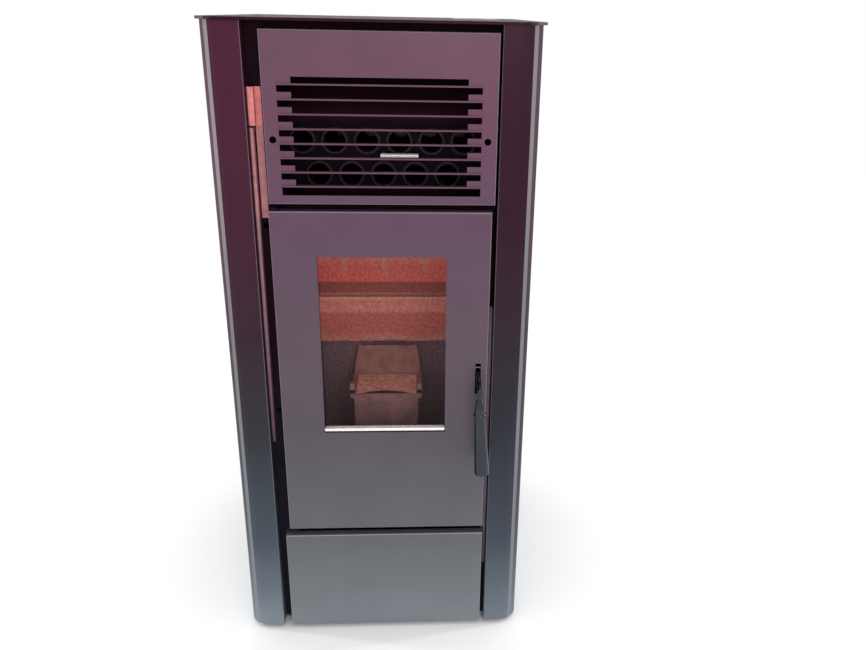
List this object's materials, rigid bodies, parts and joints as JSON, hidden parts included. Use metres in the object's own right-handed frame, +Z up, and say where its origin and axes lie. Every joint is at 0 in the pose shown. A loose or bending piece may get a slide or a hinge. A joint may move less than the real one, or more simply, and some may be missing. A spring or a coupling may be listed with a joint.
{
  "type": "pellet stove",
  "caption": "Tall free-standing pellet stove with rounded corner pillars, a louvred hot-air grille over heat tubes, a glazed fire door with a hanging turned handle, and an ash drawer.",
  "frame": {"origin": "on the floor, under the middle of the bounding box", "axes": "+X to the right seen from the front, +Y to the back, so the fire door faces -Y, and +Z up"},
  "size_m": [0.512, 0.633, 1.0793],
  "materials": {
    "casing_paint": "satin metallic powder coat, plum grey",
    "panel_paint": "satin metallic powder coat, lighter plum grey",
    "dark_steel": "matt black heat-proof paint",
    "galvanised": "zinc coated sheet",
    "bright_steel": "bare machined",
    "polished_metal": "polished nickel",
    "ceramic_glass": "clear, faintly brown",
    "seal_rope": "knitted glass fibre",
    "firebrick": "dry, dusty",
    "cast_iron": "as cast",
    "sheet_steel": "zinc coated sheet",
    "black_plastic": "fine grain",
    "rubber_black": "matt"
  },
  "bodies": {
    "stove": {"side_panel_left": "casing_paint", "side_panel_right": "casing_paint", "top_plate": "casing_paint", "rear_panel": "casing_paint", "upper_panel": "panel_paint", "base_tray": "dark_steel", "front_frame": "dark_steel", "door_hinge_bracket_upper": "dark_steel", "door_hinge_bracket_lower": "dark_steel", "firebox_body": "dark_steel", "heat_exchanger": "dark_steel", "flue_pipe": "dark_steel", "air_intake_pipe": "dark_steel", "rail_left": "galvanised", "rail_right": "galvanised", "side_bracket": "galvanised", "door_hinge_pin_upper": "bright_steel", "door_hinge_pin_lower": "bright_steel", "igniter": "bright_steel", "lining_back": "firebrick", "lining_left": "firebrick", "lining_right": "firebrick", "baffle": "firebrick", "burn_pot_holder": "cast_iron", "pellet_slide": "cast_iron", "latch_keeper": "sheet_steel", "hopper": "sheet_steel", "hopper_funnel": "sheet_steel", "auger_tube": "sheet_steel", "room_fan_housing": "sheet_steel", "air_plenum": "sheet_steel", "smoke_fan_housing": "sheet_steel", "auger_motor": "black_plastic", "room_fan_motor": "black_plastic", "smoke_fan_motor": "black_plastic", "control_panel": "black_plastic", "control_box": "black_plastic", "power_inlet": "black_plastic", "levelling_foot_1": "rubber_black", "levelling_foot_2": "rubber_black", "levelling_foot_3": "rubber_black", "levelling_foot_4": "rubber_black"},
    "door": {"door_skin": "panel_paint", "door_frame": "dark_steel", "door_glass": "ceramic_glass", "door_seal_rope": "seal_rope", "handle_pivot_pin": "bright_steel"},
    "handle": {"handle_lever": "polished_metal", "handle_grip": "polished_metal"},
    "lid": {"hopper_lid": "casing_paint", "lid_hinge_pin": "bright_steel"},
    "ash_tray": {"lower_panel": "panel_paint", "ash_drawer": "sheet_steel"},
    "scraper": {"scraper_rod": "bright_steel", "scraper_plate": "sheet_steel"},
    "auger": {"auger_screw": "bright_steel"},
    "room_fan": {"room_fan_wheel": "sheet_steel"},
    "smoke_fan": {"smoke_fan_wheel": "sheet_steel"},
    "switch": {"rocker_switch": "black_plastic"},
    "pot": {"burn_pot": "cast_iron"}
  },
  "joints": [
    {"name": "door_hinge", "type": "hinge", "parent": "stove", "child": "door", "pos_m": [-0.157, -0.252, 0.512], "axis": [0, 0, -1], "range_deg": [0, 110]},
    {"name": "handle_turn", "type": "hinge", "parent": "door", "child": "handle", "pos_m": [0.1642, -0.2505, 0.533], "axis": [-1, 0, 0], "range_deg": [-8, 30]},
    {"name": "lid_hinge", "type": "hinge", "parent": "stove", "child": "lid", "pos_m": [-0.015, 0.2295, 1.0758], "axis": [-1, 0, 0], "range_deg": [0, 80]},
    {"name": "drawer_slide", "type": "slide", "parent": "stove", "child": "ash_tray", "axis": [0, -1, 0], "range_m": [0, 0.22]},
    {"name": "scraper_slide", "type": "slide", "parent": "stove", "child": "scraper", "axis": [0, -1, 0], "range_m": [0, 0.09]},
    {"name": "auger_spin", "type": "hinge", "parent": "stove", "child": "auger", "pos_m": [0.009, 0.1815, 0.5], "axis": [0, -0.7071, 0.7071], "continuous": true},
    {"name": "room_fan_spin", "type": "hinge", "parent": "stove", "child": "room_fan", "pos_m": [-0.101, 0.0715, 0.15], "axis": [1, 0, 0], "continuous": true},
    {"name": "smoke_fan_spin", "type": "hinge", "parent": "stove", "child": "smoke_fan", "pos_m": [0.114, 0.1215, 0.14], "axis": [1, 0, 0], "continuous": true},
    {"name": "switch_rock", "type": "hinge", "parent": "stove", "child": "switch", "pos_m": [-0.19, 0.259, 0.433], "axis": [-1, 0, 0], "range_deg": [0, 14]},
    {"name": "pot_lift", "type": "slide", "parent": "stove", "child": "pot", "axis": [0, 0, 1], "range_m": [0, 0.03]}
  ]
}
